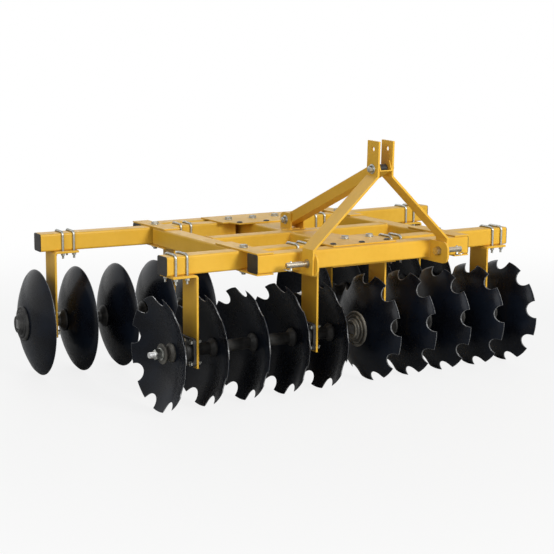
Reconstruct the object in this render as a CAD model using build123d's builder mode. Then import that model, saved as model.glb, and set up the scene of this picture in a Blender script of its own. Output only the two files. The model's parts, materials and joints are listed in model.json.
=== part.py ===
from build123d import *
from collections import namedtuple
from math import cos, pi, radians, sin, sqrt, tan
import os

os.makedirs("parts", exist_ok=True)

# Tandem disc harrow for a three-point hitch. Millimetres, +Z up, the hitch faces -Y.
# The origin is on the ground, under the middle of the whole machine.

# Frame of square tube
tube = 76.2
tube_wall = 6.35
tube_corner = 9.0
tube_top = 614.0
frame_half_width = 530.0
front_cross_y = -486.0
middle_cross_y = -13.0
rear_cross_y = 517.0
centre_tube_width = 152.4
plate_thick = 6.4
side_tube_gap = 14.0
corner_overlap = 110.0

# Blades
blade_radius = 228.6
blade_thick = 4.5
dish_radius = 430.0
seat_radius = 50.0
bevel = 10.0
blade_pitch = 186.7
blades_per_gang = 5
notch_radius = 38.0
notch_count = 9

# Axle and the castings threaded on it
axle_square = 28.6
axle_fit = 0.3
journal_radius = 22.5
journal_fit = 0.05
barrel_radius = 25.0
spool_small_radius = 38.0
spool_large_radius = 48.0
spool_flange = 8.0
spool_flare = 14.0
journal_relief = 7.0
spool_land = 2.0
bell_radius = 76.0
bell_height = 28.0
bell_rim = 6.0
bell_boss_radius = 34.0
bell_gap = 1.0
head_square = 40.0
head_fit = 2.0
head_depth = 10.0
hub_radius = 41.0
hub_neck_radius = 28.0
hub_length = 46.0
washer_radius = 25.0
washer_thick = 5.0
axle_nut_flats = 38.0
axle_nut_height = 24.0
axle_thread_radius = 12.5
axle_thread_length = 26.0

# Standards and flanged bearings
standard_width = 114.3
standard_thick = 9.5
standard_foot = 106.0
standard_below_axle = 64.0
standard_bend = 14.0
bearing_hole_radius = 32.0
housing_flange = 114.0
housing_flange_thick = 13.0
housing_boss_radius = 41.0
housing_length = 34.0

# U-bolts over the gang tubes
u_bolt_rod = 10.0
u_bolt_bend = 14.0
u_bolt_fit = 0.4
u_bolt_first = 38.0
u_bolt_pitch = 50.0
u_bolt_nut_flats = 16.0
u_bolt_nut_height = 10.0
u_bolt_tail = 14.0

# Angle adjuster in the middle of the frame
front_adjuster_half_width = 158.0
rear_adjuster_half_width = 200.0
adjuster_reach = 72.0
adjuster_nose = 62.0
front_nose_half_width = 46.0
rear_nose_half_width = 150.0
nose_root_flare = 18.0
front_plate_overhang = 18.0
adjuster_bolt_u = 125.0
adjuster_bolt_radius = 9.5
spare_hole_radius = 11.0
spare_hole_x = 135.0
spare_hole_ahead = 111.0
middle_hole_ahead = 121.0
bolt_fit = 0.4
bolt_head_flats = 28.6
bolt_head_height = 12.0
bolt_tail = 8.0

# Three-point mast
mast_width = 76.2
mast_thick = 9.5
mast_gap = 60.0
mast_foot_x = 338.0
mast_lean = 1.5
mast_foot_bottom = -42.0
mast_foot_bend = 58.0
mast_shoulder = 331.0
mast_bolt_height = 358.0
top_link_height = 437.0
mast_above_link = 33.0
top_link_radius = 9.8
hitch_pin_y = -586.0
hitch_pin_z = 575.0
hitch_pin_radius = 11.1
hitch_pin_reach = 98.0
hitch_pin_collar = 3.5
hitch_pin_nut_height = 20.0
hitch_pin_collar_radius = 18.0
linchpin_radius = 5.5
linchpin_inset = 22.0
lug_reach = 118.0
lug_above = 2.0
lug_below = 13.0
lug_nose_radius = 34.0
mast_bolt_radius = 8.0
mast_bolt_head_flats = 24.0
mast_washer_radius = 20.0

# Brace from the mast back to the frame
brace_height = 46.0
brace_wall = 5.0
brace_fit = 0.3
brace_foot_y = 44.0
brace_foot_z = 655.0
brace_end = 36.0
spacer_radius = 17.5
ear_width = 82.0
ear_thick = 8.0
ear_above = 32.0

cap_thick = 4.0
cap_plug_length = 14.0
cap_plug_fit = 0.3

# legs: the standards, each given by a blade and the distance from that blade's flat middle
Gang = namedtuple("Gang", "name side y sweep tube_start tube_end first_blade dish legs foot")
gangs = (
    Gang("front_left", -1, -358.0, 0.0, 108.0, 859.0, 134.0, -1, ((1, -80.5), (4, -80.0)), 1),
    Gang("front_right", 1, -358.0, 0.0, 108.0, 859.0, 134.0, -1, ((1, -80.5), (4, -80.0)), 1),
    Gang("rear_left", -1, 385.0, 3.0, 108.0, 1042.0, 298.0, 1, ((0, 57.0), (3, 54.0)), -1),
    Gang("rear_right", 1, 385.0, 3.0, 108.0, 1042.0, 298.0, 1, ((0, 57.0), (3, 54.0)), -1),
)
front_gangs = gangs[:2]
rear_gangs = gangs[2:]

axle_height = blade_radius
tube_bottom = tube_top - tube
half_tube = tube / 2
side_tube_x = frame_half_width - half_tube
plate_top = tube_top + plate_thick
plate_bottom = tube_bottom - plate_thick
dish_seat = sqrt(dish_radius**2 - seat_radius**2)
blade_depth = dish_seat - sqrt((dish_radius - blade_thick) ** 2 - blade_radius**2)
up = Vector(0, 0, 1)


def outward(gang):
    """Unit vector along the axle, away from the middle of the machine."""
    return Vector(gang.side * cos(radians(gang.sweep)), sin(radians(gang.sweep)), 0)


def on_gang(gang, u, z=axle_height):
    return Vector(0, gang.y, z) + outward(gang) * u


def across(gang, u, z=axle_height):
    """Plane square to the axle: local y is up."""
    return Plane(on_gang(gang, u, z), x_dir=up.cross(outward(gang)), z_dir=outward(gang))


def beside(gang):
    """Plane through the axle: local x runs outward from the middle, local y is up."""
    return Plane(on_gang(gang, 0), x_dir=outward(gang), z_dir=outward(gang).cross(up))


def axle_axis(gang):
    return Axis(on_gang(gang, 0), outward(gang))


def blade_seat(gang, number):
    """Distance to the flat middle of a blade, on its convex face."""
    return gang.first_blade + number * blade_pitch + gang.dish * blade_depth


def hollow_seat(gang, number):
    """Distance to the flat middle of a blade, on its concave face."""
    return blade_seat(gang, number) - gang.dish * blade_thick


def standards_on(gang):
    """Distance to the middle of each standard of a gang."""
    return [blade_seat(gang, number) + distance for number, distance in gang.legs]


def dish_drop(radius):
    """How far the convex face has fallen away from its flat middle."""
    return dish_seat - sqrt(dish_radius**2 - radius**2)


def tube_profile(width=tube):
    RectangleRounded(width, tube, tube_corner)
    inner_width = width - 2 * tube_wall
    inner_height = tube - 2 * tube_wall
    RectangleRounded(inner_width, inner_height, tube_corner - tube_wall, mode=Mode.SUBTRACT)


def save(piece, name):
    piece.part.label = name
    export_step(piece.part, f"parts/{name}.step")


# Cross tubes, with the side tubes and centre tubes between them
inner_half_width = frame_half_width - tube
front_side_start = gangs[0].y + half_tube + side_tube_gap
rear_gang_face = gangs[2].y + side_tube_x * tan(radians(gangs[2].sweep)) - half_tube
rear_side_end = rear_gang_face - side_tube_gap
middle_front_face = middle_cross_y - half_tube
middle_rear_face = middle_cross_y + half_tube
cross_tube_half = frame_half_width - cap_thick

CrossTube = namedtuple("CrossTube", "name y half_length")
cross_tubes = (
    CrossTube("front_cross_tube", front_cross_y, cross_tube_half),
    CrossTube("middle_cross_tube", middle_cross_y, inner_half_width),
    CrossTube("rear_cross_tube", rear_cross_y, cross_tube_half),
)
for row in cross_tubes:
    with BuildPart() as cross_tube:
        with BuildSketch(Plane.YZ):
            with Locations((row.y, tube_top - half_tube)):
                tube_profile()
        extrude(amount=row.half_length, both=True)
    save(cross_tube, row.name)

LongTube = namedtuple("LongTube", "name x width start end")
long_tubes = (
    LongTube("left_side_tube", -side_tube_x, tube, front_side_start, rear_side_end),
    LongTube("right_side_tube", side_tube_x, tube, front_side_start, rear_side_end),
    LongTube("front_centre_tube", 0, centre_tube_width, front_cross_y + half_tube, middle_front_face),
    LongTube("rear_centre_tube", 0, centre_tube_width, middle_rear_face, rear_cross_y - half_tube),
)
for row in long_tubes:
    with BuildPart() as long_tube:
        with BuildSketch(Plane.XZ.offset(-row.start)):
            with Locations((row.x, tube_top - half_tube)):
                tube_profile(row.width)
        extrude(amount=row.start - row.end)
        if row.x == 0:
            # The middle adjuster bolt goes down through the centre tube
            with Locations((0, gangs[0].y, tube_top - half_tube), (0, gangs[2].y, tube_top - half_tube)):
                Cylinder(adjuster_bolt_radius + bolt_fit, 2 * tube, mode=Mode.SUBTRACT)
    save(long_tube, row.name)

# Corner plates above and below, which carry the gang tubes across the gap in the frame
front_plate_edge = front_cross_y - half_tube
rear_plate_edge = rear_cross_y + half_tube
for name, level in (("top_corner_plates", tube_top), ("bottom_corner_plates", plate_bottom)):
    with BuildPart() as corner_plates:
        with BuildSketch(Plane.XY.offset(level)):
            for side in (-1, 1):
                front_length = front_side_start + corner_overlap - front_plate_edge
                with Locations((side * side_tube_x, front_plate_edge + front_length / 2)):
                    Rectangle(tube, front_length)
                rear_length = rear_plate_edge - rear_side_end + corner_overlap
                with Locations((side * side_tube_x, rear_plate_edge - rear_length / 2)):
                    Rectangle(tube, rear_length)
            for gang in gangs:
                pivot = on_gang(gang, side_tube_x / cos(radians(gang.sweep)))
                with Locations((pivot.X, pivot.Y)):
                    Circle(adjuster_bolt_radius + bolt_fit, mode=Mode.SUBTRACT)
        extrude(amount=plate_thick)
    save(corner_plates, name)

# Adjuster plates: the gang tubes are bolted between them at their inner ends, and the spare holes
# in front of the bolts are for other gang angles
AdjusterPlate = namedtuple("AdjusterPlate", "name half_width nose_half_width far_edge pair toward")
front_far_edge = front_cross_y - front_plate_overhang
adjuster_plates = (
    AdjusterPlate(
        "front_adjuster_plates",
        front_adjuster_half_width,
        front_nose_half_width,
        front_far_edge,
        front_gangs,
        1,
    ),
    AdjusterPlate(
        "rear_adjuster_plates",
        rear_adjuster_half_width,
        rear_nose_half_width,
        rear_cross_y,
        rear_gangs,
        -1,
    ),
)
for row in adjuster_plates:
    gang_y = row.pair[0].y
    inner_edge = gang_y + row.toward * adjuster_reach
    nose_edge = inner_edge + row.toward * adjuster_nose
    nose_root = row.nose_half_width + nose_root_flare
    bolt_points = [on_gang(gang, adjuster_bolt_u) for gang in row.pair] + [Vector(0, gang_y, 0)]
    with BuildPart() as adjuster:
        with BuildSketch(Plane.XY.offset(tube_top), Plane.XY.offset(plate_bottom)):
            with BuildLine():
                Polyline(
                    (-row.half_width, row.far_edge),
                    (row.half_width, row.far_edge),
                    (row.half_width, inner_edge),
                    (nose_root, inner_edge),
                    (row.nose_half_width, nose_edge),
                    (-row.nose_half_width, nose_edge),
                    (-nose_root, inner_edge),
                    (-row.half_width, inner_edge),
                    close=True,
                )
            make_face()
            for point in bolt_points:
                with Locations((point.X, point.Y)):
                    Circle(adjuster_bolt_radius + bolt_fit, mode=Mode.SUBTRACT)
            with Locations(
                (-spare_hole_x, gang_y - spare_hole_ahead),
                (0, gang_y - middle_hole_ahead),
                (spare_hole_x, gang_y - spare_hole_ahead),
            ):
                Circle(spare_hole_radius, mode=Mode.SUBTRACT)
        extrude(amount=plate_thick)
    save(adjuster, row.name)

# Gang tubes, drilled for the pivot bolt and the adjuster bolt
for gang in gangs:
    pivot_u = side_tube_x / cos(radians(gang.sweep))
    with BuildPart() as gang_tube:
        with BuildSketch(across(gang, gang.tube_start, tube_top - half_tube)):
            tube_profile()
        extrude(amount=gang.tube_end - cap_thick - gang.tube_start)
        with BuildSketch(Plane.XY.offset(plate_bottom)):
            for u in (adjuster_bolt_u, pivot_u):
                with Locations((on_gang(gang, u).X, on_gang(gang, u).Y)):
                    Circle(adjuster_bolt_radius + bolt_fit)
        extrude(amount=2 * tube, mode=Mode.SUBTRACT)
    save(gang_tube, f"{gang.name}_gang_tube")

# Plastic caps in the open tube ends
cap_plug = tube - 2 * (tube_wall + cap_plug_fit)
cap_planes = [across(gang, gang.tube_end - cap_thick, tube_top - half_tube) for gang in gangs]
for side in (-1, 1):
    for y in (front_cross_y, rear_cross_y):
        end = Vector(side * cross_tube_half, y, tube_top - half_tube)
        cap_planes.append(Plane(end, x_dir=(0, 1, 0), z_dir=(side, 0, 0)))
with BuildPart() as tube_end_caps:
    for plane in cap_planes:
        with BuildSketch(plane):
            RectangleRounded(tube, tube, tube_corner)
        extrude(amount=cap_thick)
        with BuildSketch(plane):
            Rectangle(cap_plug, cap_plug)
            chamfer(vertices(), tube_wall)
        extrude(amount=-cap_plug_length)
save(tube_end_caps, "tube_end_caps")

# Pivot bolts at the corners and adjuster bolts in the middle
pivot_points = [on_gang(gang, side_tube_x / cos(radians(gang.sweep))) for gang in gangs]
middle_points = [Vector(0, gangs[0].y, 0), Vector(0, gangs[2].y, 0)]
adjuster_points = [on_gang(gang, adjuster_bolt_u) for gang in gangs] + middle_points
for name, points in (("pivot_bolts", pivot_points), ("adjuster_bolts", adjuster_points)):
    with BuildPart() as bolts:
        for point in points:
            with BuildSketch(Plane.XY.offset(plate_bottom - bolt_head_height - bolt_tail)):
                with Locations((point.X, point.Y)):
                    Circle(adjuster_bolt_radius)
            extrude(amount=plate_top - plate_bottom + 2 * bolt_head_height + bolt_tail)
            with BuildSketch(Plane.XY.offset(plate_top), Plane.XY.offset(plate_bottom - bolt_head_height)):
                with Locations((point.X, point.Y)):
                    RegularPolygon(bolt_head_flats / 2, 6, major_radius=False)
            extrude(amount=bolt_head_height)
    save(bolts, name)

# Standards: flat bar bent under the gang tube, with a hole for the spool that turns in it
standard_bottom = -standard_below_axle
foot_under = tube_bottom - axle_height
rod_y = half_tube + u_bolt_rod / 2 + u_bolt_fit


def u_bolt_places(gang):
    for leg in standards_on(gang):
        for number in range(2):
            yield leg + gang.foot * (u_bolt_first + number * u_bolt_pitch)


for name, pair in (("front_standards", front_gangs), ("rear_standards", rear_gangs)):
    with BuildPart() as standards:
        for gang in pair:
            for leg in standards_on(gang):
                back = leg - gang.foot * standard_thick / 2
                front = leg + gang.foot * standard_thick / 2
                tip = leg + gang.foot * standard_foot
                with BuildSketch(beside(gang)):
                    with BuildLine():
                        Polyline(
                            (back, standard_bottom),
                            (front, standard_bottom),
                            (front, foot_under - standard_thick),
                            (tip, foot_under - standard_thick),
                            (tip, foot_under),
                            (back, foot_under),
                            close=True,
                        )
                    make_face()
                    outer_corner = vertices().sort_by_distance((back, foot_under, 0))[0]
                    fillet(outer_corner, standard_bend)
                    inner_corner = vertices().sort_by_distance((front, foot_under - standard_thick, 0))[0]
                    fillet(inner_corner, standard_bend - standard_thick)
                extrude(amount=standard_width / 2, both=True)
        for gang in pair:
            with BuildSketch(across(gang, 0)):
                Circle(bearing_hole_radius)
            extrude(amount=gang.tube_end, mode=Mode.SUBTRACT)
            sideways = up.cross(outward(gang))
            for u in u_bolt_places(gang):
                centre = on_gang(gang, u, tube_bottom - standard_thick)
                with Locations(centre + sideways * rod_y, centre - sideways * rod_y):
                    Cylinder(u_bolt_rod / 2 + u_bolt_fit, 4 * standard_thick, mode=Mode.SUBTRACT)
    save(standards, name)

# U-bolts: square-bent rod over the gang tube, with a nut under the foot of the standard on each leg
rod_top = tube_top + u_bolt_rod / 2
nut_level = tube_bottom - standard_thick
rod_end = nut_level - u_bolt_nut_height - u_bolt_tail
for name, pair in (("front_u_bolts", front_gangs), ("rear_u_bolts", rear_gangs)):
    with BuildPart() as u_bolts:
        for gang in pair:
            for u in u_bolt_places(gang):
                with BuildLine(across(gang, u, 0)) as rod_path:
                    FilletPolyline(
                        (-rod_y, rod_end),
                        (-rod_y, rod_top),
                        (rod_y, rod_top),
                        (rod_y, rod_end),
                        radius=u_bolt_bend,
                    )
                rod_start = rod_path.line @ 0
                with BuildSketch(Plane(rod_start, x_dir=outward(gang), z_dir=(0, 0, 1))):
                    Circle(u_bolt_rod / 2)
                sweep(path=rod_path.line)
                with BuildSketch(Plane.XY.offset(nut_level)):
                    for place in (rod_path.line @ 0, rod_path.line @ 1):
                        with Locations((place.X, place.Y)):
                            RegularPolygon(u_bolt_nut_flats / 2, 6, major_radius=False)
                extrude(amount=-u_bolt_nut_height)
    save(u_bolts, name)

# Flanged bearing housings, bolted to the outward face of each standard
for name, pair in (("front_bearing_housings", front_gangs), ("rear_bearing_housings", rear_gangs)):
    with BuildPart() as housings:
        for gang in pair:
            for leg in standards_on(gang):
                seat = leg + standard_thick / 2
                with BuildSketch(across(gang, seat)):
                    RectangleRounded(housing_flange, housing_flange, housing_flange / 8)
                extrude(amount=housing_flange_thick)
                with BuildSketch(across(gang, seat)):
                    Circle(housing_boss_radius)
                extrude(amount=housing_length, taper=6)
                with BuildSketch(across(gang, seat)):
                    Circle(journal_radius + journal_fit)
                extrude(amount=housing_length, mode=Mode.SUBTRACT)
    save(housings, name)

# Three-point mast: a bent flat bar on each side, leaning a little towards the tractor
lean = radians(mast_lean)
mast_up = Vector(0, -sin(lean), cos(lean))
mast_foot = Vector(0, hitch_pin_y, hitch_pin_z)
mast_plane = Plane(mast_foot, x_dir=(1, 0, 0), z_dir=(0, -cos(lean), -sin(lean)))
mast_top_x = mast_gap / 2 + mast_thick
mast_top = top_link_height + mast_above_link
mast_bolt_centre = mast_foot + mast_up * mast_bolt_height
top_link_centre = mast_foot + mast_up * top_link_height


def on_side_plane(point):
    """Plane square to X through a point: local x is +Y, local y is up."""
    return Plane((0, point.Y, point.Z), x_dir=(0, 1, 0), z_dir=(1, 0, 0))


for side, name in ((-1, "left_mast_bar"), (1, "right_mast_bar")):
    with BuildPart() as mast_bar:
        with BuildSketch(mast_plane):
            with BuildLine():
                outer = Polyline(
                    (side * mast_foot_x, mast_foot_bottom),
                    (side * mast_foot_x, mast_foot_bend),
                    (side * mast_top_x, mast_shoulder),
                    (side * mast_top_x, mast_top),
                )
                inner_side = Side.LEFT if side > 0 else Side.RIGHT
                offset(outer, amount=mast_thick, side=inner_side, kind=Kind.INTERSECTION, closed=True)
            make_face()
        extrude(amount=mast_width / 2, both=True)
        for point, radius in (
            (mast_foot, hitch_pin_radius + bolt_fit),
            (mast_bolt_centre, mast_bolt_radius + bolt_fit),
            (top_link_centre, top_link_radius),
        ):
            with BuildSketch(on_side_plane(point)):
                Circle(radius)
            extrude(amount=side * frame_half_width, mode=Mode.SUBTRACT)
    save(mast_bar, name)

# Hitch lugs: plates notched round the front cross tube, inside the feet of the mast
lug_outer_x = mast_foot_x - mast_thick
cross_front = front_cross_y - half_tube
cross_back = front_cross_y + half_tube
lug_front = cross_front - lug_reach
lug_top = tube_top + lug_above
lug_bottom = tube_bottom - lug_below
with BuildPart() as hitch_lugs:
    for side in (-1, 1):
        with BuildSketch(Plane((side * lug_outer_x, 0, 0), x_dir=(0, 1, 0), z_dir=(1, 0, 0))):
            with BuildLine():
                Polyline(
                    (cross_front, tube_bottom),
                    (cross_back, tube_bottom),
                    (cross_back, lug_bottom),
                    (lug_front, lug_bottom),
                    (lug_front, lug_top),
                    (cross_front, lug_top),
                    close=True,
                )
            make_face()
            fillet(vertices().sort_by_distance((lug_front, lug_bottom, 0))[0], lug_nose_radius)
            fillet(vertices().sort_by_distance((lug_front, lug_top, 0))[0], lug_nose_radius)
            with Locations((hitch_pin_y, hitch_pin_z)):
                Circle(hitch_pin_radius + bolt_fit, mode=Mode.SUBTRACT)
        extrude(amount=-side * mast_thick)
save(hitch_lugs, "hitch_lugs")

# Lower hitch pins, with a collar outside, a nut inside and a hole for the linchpin
for side, name in ((-1, "left_lower_hitch_pin"), (1, "right_lower_hitch_pin")):
    inner_face = side * (lug_outer_x - mast_thick)
    with BuildPart() as hitch_pin:
        with BuildSketch(Plane((inner_face, hitch_pin_y, hitch_pin_z), z_dir=(side, 0, 0))):
            Circle(hitch_pin_radius)
        extrude(amount=2 * mast_thick + hitch_pin_reach)
        with BuildSketch(Plane((inner_face, hitch_pin_y, hitch_pin_z), z_dir=(side, 0, 0))):
            RegularPolygon(hitch_pin_collar_radius, 6)
        extrude(amount=-hitch_pin_nut_height)
        with BuildSketch(Plane((side * mast_foot_x, hitch_pin_y, hitch_pin_z), z_dir=(side, 0, 0))):
            Circle(hitch_pin_collar_radius)
        extrude(amount=hitch_pin_collar)
        tip = side * (mast_foot_x + hitch_pin_reach)
        chamfer(faces().sort_by(Axis.X)[-1 if side > 0 else 0].edges(), hitch_pin_radius / 4)
        with Locations((tip - side * linchpin_inset, hitch_pin_y, hitch_pin_z)):
            Cylinder(linchpin_radius, 4 * hitch_pin_radius, mode=Mode.SUBTRACT)
    save(hitch_pin, name)

# Brace: a channel, open upwards, from the mast bolt down to ears behind the middle cross tube
brace_width = mast_gap - 2 * brace_fit
brace_foot = Vector(0, brace_foot_y, brace_foot_z)
brace_run = (brace_foot - mast_bolt_centre).normalized()
brace_length = (brace_foot - mast_bolt_centre).length
brace_start = mast_bolt_centre - brace_run * brace_end
with BuildPart() as mast_brace:
    with BuildSketch(Plane(brace_start, x_dir=(1, 0, 0), z_dir=brace_run)):
        Rectangle(brace_width, brace_height)
        # Local y of this plane points down and back, so the open side is at minus y
        with Locations((0, -brace_wall)):
            Rectangle(brace_width - 2 * brace_wall, brace_height, mode=Mode.SUBTRACT)
    extrude(amount=brace_length + 2 * brace_end)
    for point in (mast_bolt_centre, brace_foot):
        with BuildSketch(on_side_plane(point)):
            Circle(mast_bolt_radius + bolt_fit)
        extrude(amount=mast_gap, both=True, mode=Mode.SUBTRACT)
save(mast_brace, "mast_brace")

# Black sleeve round the mast bolt, inside the channel
with BuildPart() as brace_spacer:
    with BuildSketch(on_side_plane(mast_bolt_centre)):
        Circle(spacer_radius)
        Circle(mast_bolt_radius + bolt_fit, mode=Mode.SUBTRACT)
    extrude(amount=brace_width / 2 - brace_wall, both=True)
save(brace_spacer, "brace_spacer")

# Ears that hold the lower end of the brace, standing on the rear centre tube
with BuildPart() as brace_ears:
    for side in (-1, 1):
        with BuildSketch(Plane((side * mast_gap / 2, 0, 0), x_dir=(0, 1, 0), z_dir=(1, 0, 0))):
            with BuildLine():
                Polyline(
                    (brace_foot_y - ear_width / 2, tube_top),
                    (brace_foot_y + ear_width / 2, tube_top),
                    (brace_foot_y + ear_width / 2, brace_foot_z + ear_above * 0.6),
                    (brace_foot_y + ear_width / 4, brace_foot_z + ear_above),
                    (brace_foot_y - ear_width / 2, brace_foot_z + ear_above),
                    close=True,
                )
            make_face()
            with Locations((brace_foot_y, brace_foot_z)):
                Circle(mast_bolt_radius + bolt_fit, mode=Mode.SUBTRACT)
        extrude(amount=side * ear_thick)
save(brace_ears, "brace_ears")

# Bolts through the mast and through the ears
BraceBolt = namedtuple("BraceBolt", "name centre half_grip")
brace_bolts = (
    BraceBolt("mast_bolt", mast_bolt_centre, mast_top_x),
    BraceBolt("brace_foot_bolt", brace_foot, mast_gap / 2 + ear_thick),
)
for row in brace_bolts:
    with BuildPart() as brace_bolt:
        with BuildSketch(on_side_plane(row.centre)):
            Circle(mast_bolt_radius)
        extrude(amount=row.half_grip + washer_thick + bolt_head_height + bolt_tail)
        with BuildSketch(on_side_plane(row.centre)):
            Circle(mast_bolt_radius)
        extrude(amount=-row.half_grip - washer_thick)
        for side in (-1, 1):
            face = Plane((side * row.half_grip, row.centre.Y, row.centre.Z), z_dir=(side, 0, 0))
            with BuildSketch(face):
                Circle(mast_washer_radius)
            extrude(amount=washer_thick)
            with BuildSketch(face.offset(washer_thick)):
                RegularPolygon(mast_bolt_head_flats / 2, 6, major_radius=False)
            extrude(amount=bolt_head_height)
    save(brace_bolt, row.name)

# Gangs: five dished blades on a square axle, clamped between cast spools, a bell and an end hub
last = blades_per_gang - 1
for gang in gangs:
    toward_bell = gang.dish
    bell_blade = last if gang.dish > 0 else 0
    nut_blade = last - bell_blade
    bell_seat = blade_seat(gang, bell_blade)
    bell_face = bell_seat + toward_bell * bell_height
    hub_seat = hollow_seat(gang, nut_blade)
    hub_face = hub_seat - toward_bell * hub_length
    nut_face = hub_face - toward_bell * washer_thick
    axle_end = nut_face - toward_bell * (axle_nut_height + axle_thread_length)
    hole_side = axle_square + 2 * axle_fit
    hole_start = gang.first_blade - 2 * blade_pitch
    hole_length = (blades_per_gang + 4) * blade_pitch

    # Blades, those of the front gangs with round notches and a tooth straight down
    with BuildPart() as blades:
        for number in range(blades_per_gang):
            seat = blade_seat(gang, number)
            centre_u = seat - gang.dish * dish_seat
            hollow_radius = dish_radius - blade_thick
            hollow_flat = sqrt(hollow_radius**2 - (dish_seat - blade_thick) ** 2)
            edge = blade_radius - bevel
            middle = (seat_radius + edge) / 2

            def shell(radius, at_radius):
                return (centre_u + gang.dish * sqrt(radius**2 - at_radius**2), at_radius)

            with BuildSketch(beside(gang)):
                with BuildLine():
                    Line((seat, 0), (seat, seat_radius))
                    ThreePointArc(
                        (seat, seat_radius), shell(dish_radius, middle), shell(dish_radius, edge)
                    )
                    Line(shell(dish_radius, edge), shell(hollow_radius, blade_radius))
                    ThreePointArc(
                        shell(hollow_radius, blade_radius),
                        shell(hollow_radius, middle),
                        (seat - gang.dish * blade_thick, hollow_flat),
                    )
                    Line((seat - gang.dish * blade_thick, hollow_flat), (seat - gang.dish * blade_thick, 0))
                    Line((seat - gang.dish * blade_thick, 0), (seat, 0))
                make_face()
            revolve(axis=axle_axis(gang))
        with BuildSketch(across(gang, hole_start)):
            Rectangle(hole_side, hole_side)
            if gang in front_gangs:
                with PolarLocations(blade_radius, notch_count, start_angle=90):
                    Circle(notch_radius)
        extrude(amount=hole_length, mode=Mode.SUBTRACT)
    save(blades, f"{gang.name}_blades")

    # Spools between the blades; those at the standards run through the bearings
    with BuildPart() as spools:
        for number in range(last):
            if gang.dish > 0:
                start, end = blade_seat(gang, number), hollow_seat(gang, number + 1)
                radii = (spool_large_radius, spool_small_radius)
            else:
                start, end = hollow_seat(gang, number), blade_seat(gang, number + 1)
                radii = (spool_small_radius, spool_large_radius)
            legs = [leg for leg in standards_on(gang) if start < leg < end]
            outline = [(start, 0), (start, radii[0]), (start + spool_flange, radii[0])]
            outline += [(start + spool_flange + spool_flare, barrel_radius)]
            for leg in legs:
                journal_start = leg - standard_thick / 2 - journal_relief
                journal_end = leg + standard_thick / 2 + housing_length + journal_relief
                journal_start = max(journal_start, start + spool_flange + spool_flare + spool_land)
                outline += [
                    (journal_start, barrel_radius),
                    (journal_start, journal_radius),
                    (journal_end, journal_radius),
                    (journal_end, barrel_radius),
                ]
            outline += [(end - spool_flange - spool_flare, barrel_radius)]
            outline += [(end - spool_flange, radii[1]), (end, radii[1]), (end, 0)]
            with BuildSketch(beside(gang)):
                with BuildLine():
                    Polyline(*outline, close=True)
                make_face()
            revolve(axis=axle_axis(gang))
        with BuildSketch(across(gang, hole_start)):
            Rectangle(hole_side, hole_side)
        extrude(amount=hole_length, mode=Mode.SUBTRACT)
    save(spools, f"{gang.name}_spools")

    # Bell on the convex face of the end blade, and hub in the hollow of the other end blade
    with BuildPart() as end_castings:
        with BuildSketch(beside(gang)):
            with BuildLine():
                Polyline(
                    (bell_seat, 0),
                    (bell_face, 0),
                    (bell_face, bell_boss_radius),
                    (bell_face - toward_bell * bell_rim, bell_boss_radius + bell_rim),
                    (bell_seat + toward_bell * bell_rim * 1.5, bell_radius - bell_rim),
                    (bell_seat + toward_bell * bell_rim / 2, bell_radius),
                    (bell_seat - toward_bell * (dish_drop(bell_radius) - bell_gap), bell_radius),
                    (bell_seat, seat_radius),
                    close=True,
                )
            make_face()
        revolve(axis=axle_axis(gang))
        with BuildSketch(beside(gang)):
            with BuildLine():
                Polyline(
                    (hub_seat, 0),
                    (hub_seat, spool_small_radius),
                    (hub_seat - toward_bell * spool_flange, spool_small_radius),
                    (hub_seat - toward_bell * 2 * spool_flange, hub_neck_radius),
                    (hub_face + toward_bell * 2 * spool_flange, hub_neck_radius),
                    (hub_face + toward_bell * spool_flange, hub_radius),
                    (hub_face, hub_radius),
                    (hub_face, 0),
                    close=True,
                )
            make_face()
        revolve(axis=axle_axis(gang))
        with BuildSketch(across(gang, hole_start)):
            Rectangle(hole_side, hole_side)
        extrude(amount=hole_length, mode=Mode.SUBTRACT)
        with BuildSketch(across(gang, bell_face)):
            Rectangle(head_square + 2 * head_fit, head_square + 2 * head_fit)
        extrude(amount=-toward_bell * (head_depth + head_fit), mode=Mode.SUBTRACT)
    save(end_castings, f"{gang.name}_end_castings")

    # Axle: square bar with a square head in the bell, and a washer, nut and thread at the far end
    head_face = bell_face - toward_bell * head_fit
    with BuildPart() as axle:
        with BuildSketch(across(gang, hub_face)):
            Rectangle(axle_square, axle_square)
        extrude(amount=abs(head_face - hub_face) * toward_bell)
        with BuildSketch(across(gang, head_face)):
            Rectangle(head_square, head_square)
        extrude(amount=-toward_bell * head_depth)
        with BuildSketch(across(gang, hub_face)):
            Circle(washer_radius)
        extrude(amount=-toward_bell * washer_thick)
        with BuildSketch(across(gang, nut_face)):
            RegularPolygon(axle_nut_flats / 2, 6, major_radius=False)
        extrude(amount=-toward_bell * axle_nut_height)
        with BuildSketch(across(gang, nut_face)):
            Circle(axle_thread_radius)
        extrude(amount=axle_end - nut_face)
    save(axle, f"{gang.name}_axle")
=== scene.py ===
import bmesh
import bpy
import json
import math
import random
from mathutils import Matrix, Vector


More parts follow.
